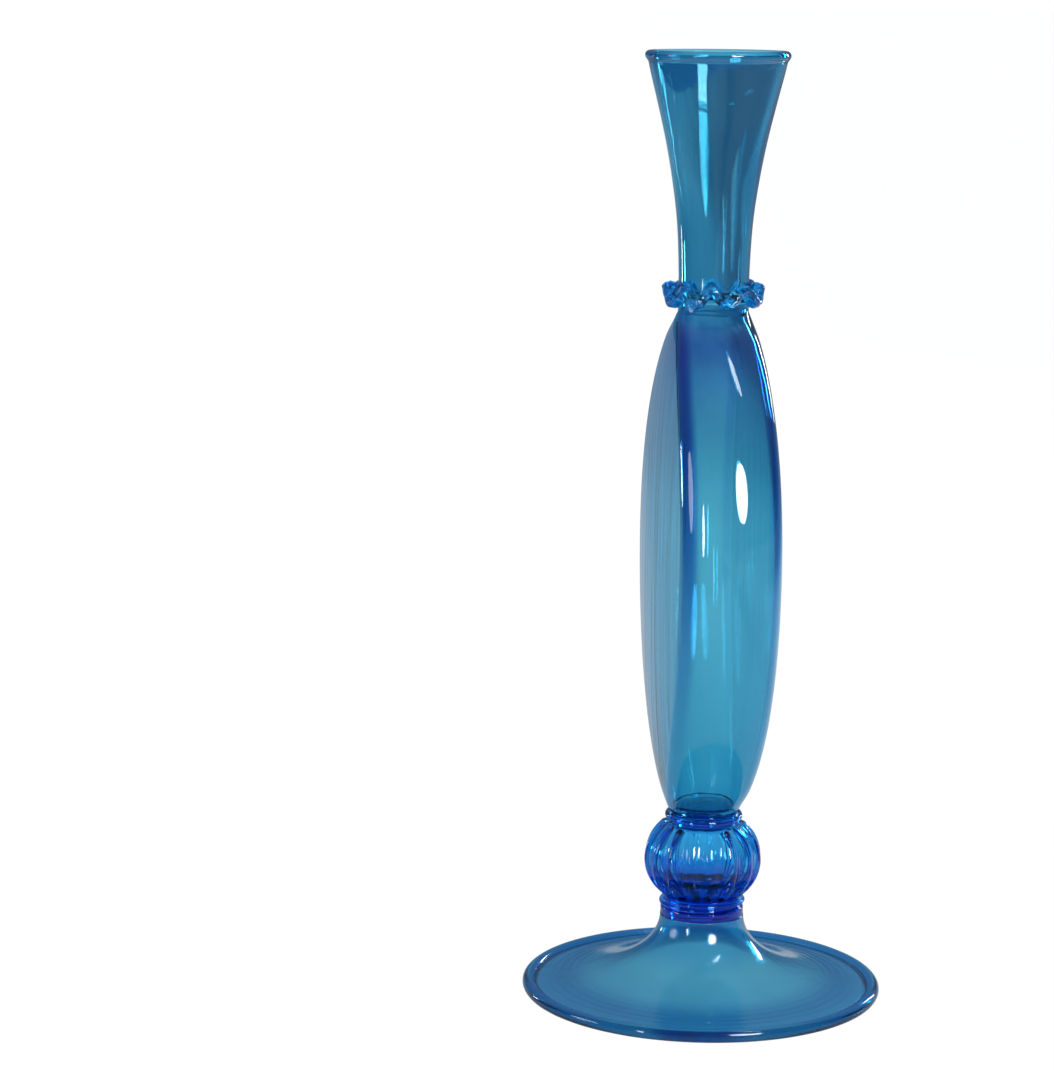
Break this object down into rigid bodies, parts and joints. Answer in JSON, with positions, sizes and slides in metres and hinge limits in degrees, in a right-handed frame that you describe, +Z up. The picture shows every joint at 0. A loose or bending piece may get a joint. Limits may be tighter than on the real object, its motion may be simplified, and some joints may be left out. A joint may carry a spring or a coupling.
{
  "type": "glass candlestick",
  "caption": "Blown blue glass candlestick: flared candle cup, crimped collar, flattened flask stem, ribbed hollow knop and a round trumpet foot with a rolled rim.",
  "frame": {"origin": "centre of the foot's resting ring, on the table", "axes": "+Z up the stem; the flask's broad faces look along +X and -X, and its narrow edges along +Y and -Y"},
  "size_m": [0.134, 0.134, 0.35],
  "materials": {
    "blue_glass": "clear blown soda glass, fire polished, smooth and glossy, with a few seed bubbles",
    "trail_glass": "clear blown glass trail, pinched, very glossy",
    "deep_blue_glass": "clear blown soda glass, deeper blue where it is thick, glossy"
  },
  "bodies": {
    "root": {"candle_cup": "blue_glass", "crimped_collar": "trail_glass", "moon_flask": "blue_glass", "upper_wafer": "deep_blue_glass", "upper_thread": "deep_blue_glass", "ribbed_knop": "deep_blue_glass", "foot_wafer": "deep_blue_glass", "foot_thread": "deep_blue_glass", "trumpet_foot": "blue_glass"}
  },
  "joints": []
}
